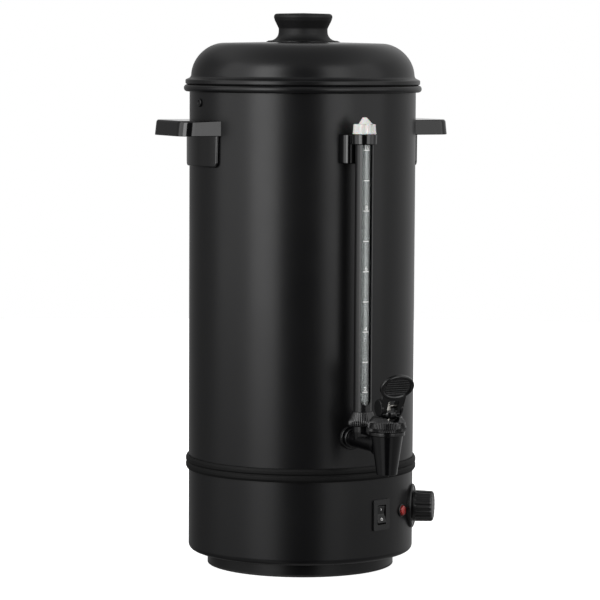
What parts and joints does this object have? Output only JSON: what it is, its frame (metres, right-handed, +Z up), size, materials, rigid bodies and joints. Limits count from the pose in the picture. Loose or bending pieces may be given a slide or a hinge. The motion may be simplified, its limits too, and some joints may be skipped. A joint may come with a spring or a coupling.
{
  "type": "hot water urn",
  "caption": "Tall round hot water urn with a domed lid and knob, shelf handles, a guarded sight gauge and a lever tap at the front, on a base skirt with a dial.",
  "frame": {"origin": "on the tank's axis, at the surface that the foot stands on, in the mouth of the foot recess", "axes": "+Z up along the tank's axis; the tap and the sight gauge face -Y; the handles lie on the X axis"},
  "size_m": [0.2834, 0.3214, 0.5281],
  "materials": {
    "powder_coat": "satin black powder coat",
    "stainless_steel": "stainless steel, as rolled or turned",
    "zinc_plated_steel": "zinc plated steel",
    "gloss_black": "glossy moulded black",
    "black_moulding": "satin moulded black",
    "clear_tube": "clear tube with white marks",
    "frosted_cap": "clear to whitish moulding",
    "lamp_lens": "red translucent lens",
    "black_rubber": "plain black rubber",
    "brass": "turned brass",
    "phenolic": "dark brown moulding",
    "wire_cover": "white glass fibre and silicone sleeve"
  },
  "bodies": {
    "urn_body": {"tank_shell": "powder_coat", "belt_band": "powder_coat", "base_skirt": "powder_coat", "foot_ring": "powder_coat", "rim_studs": "powder_coat", "tank_floor": "stainless_steel", "bottom_plate": "zinc_plated_steel", "bottom_screws": "zinc_plated_steel", "bottom_nuts": "zinc_plated_steel", "handle_screws": "stainless_steel", "bracket_screws": "stainless_steel", "heating_element": "stainless_steel", "inlet_screws": "zinc_plated_steel", "regulator_nut": "zinc_plated_steel", "boil_dry_cutout": "zinc_plated_steel", "handle_right": "gloss_black", "handle_left": "gloss_black", "gauge_bracket": "gloss_black", "gauge_guard": "black_moulding", "gauge_nut": "black_moulding", "tap_shank": "black_moulding", "tap_body": "black_moulding", "tap_bonnet": "black_moulding", "dial_bezel": "black_moulding", "switch_housing": "black_moulding", "mains_inlet": "black_moulding", "shank_nut": "black_moulding", "gauge_glass": "clear_tube", "gauge_cap": "frosted_cap", "pilot_lamp": "lamp_lens", "foot_edging": "black_rubber", "handle_seals": "black_rubber", "bracket_seals": "black_rubber", "gauge_seals": "black_rubber", "shank_seals": "black_rubber", "inlet_pins": "brass", "element_bushes": "brass", "element_nuts": "brass", "heat_regulator": "phenolic", "terminal_block": "phenolic", "base_wiring": "wire_cover"},
    "lid": {"lid_shell": "powder_coat", "knob_flange": "powder_coat", "lid_knob": "black_moulding", "knob_screw": "stainless_steel", "knob_washer": "stainless_steel"},
    "stem": {"tap_stem": "stainless_steel", "seat_cup": "black_rubber", "tap_spring": "stainless_steel", "lever_pin": "stainless_steel"},
    "lever": {"tap_lever": "black_moulding"},
    "dial": {"dial_knob": "black_moulding", "dial_shaft": "zinc_plated_steel"},
    "rocker": {"switch_rocker": "black_moulding"}
  },
  "joints": [
    {"name": "lid_lift", "type": "slide", "parent": "urn_body", "child": "lid", "axis": [0, 0, 1], "range_m": [0, 0.15]},
    {"name": "stem_lift", "type": "slide", "parent": "urn_body", "child": "stem", "axis": [0, 0, 1], "range_m": [0, 0.003], "deforming": ["tap_spring"]},
    {"name": "lever_tilt", "type": "hinge", "parent": "stem", "child": "lever", "pos_m": [0, -0.182, 0.1706], "axis": [1, 0, 0], "range_deg": [0, 30], "stiffness_Nm_per_rad": 0.2, "springref_deg": -20.05},
    {"name": "dial_turn", "type": "hinge", "parent": "urn_body", "child": "dial", "pos_m": [0.0983, -0.06883, 0.058], "axis": [0.8192, -0.5736, 0], "range_deg": [0, 270]},
    {"name": "rocker_tilt", "type": "hinge", "parent": "urn_body", "child": "rocker", "pos_m": [0.03435, -0.09975, 0.058], "axis": [0.9455, 0.3256, 0], "range_deg": [0, 14]}
  ],
  "couplings": [
    {"joint": "stem_lift", "follows": "lever_tilt", "m_per_rad": 0.0057}
  ]
}
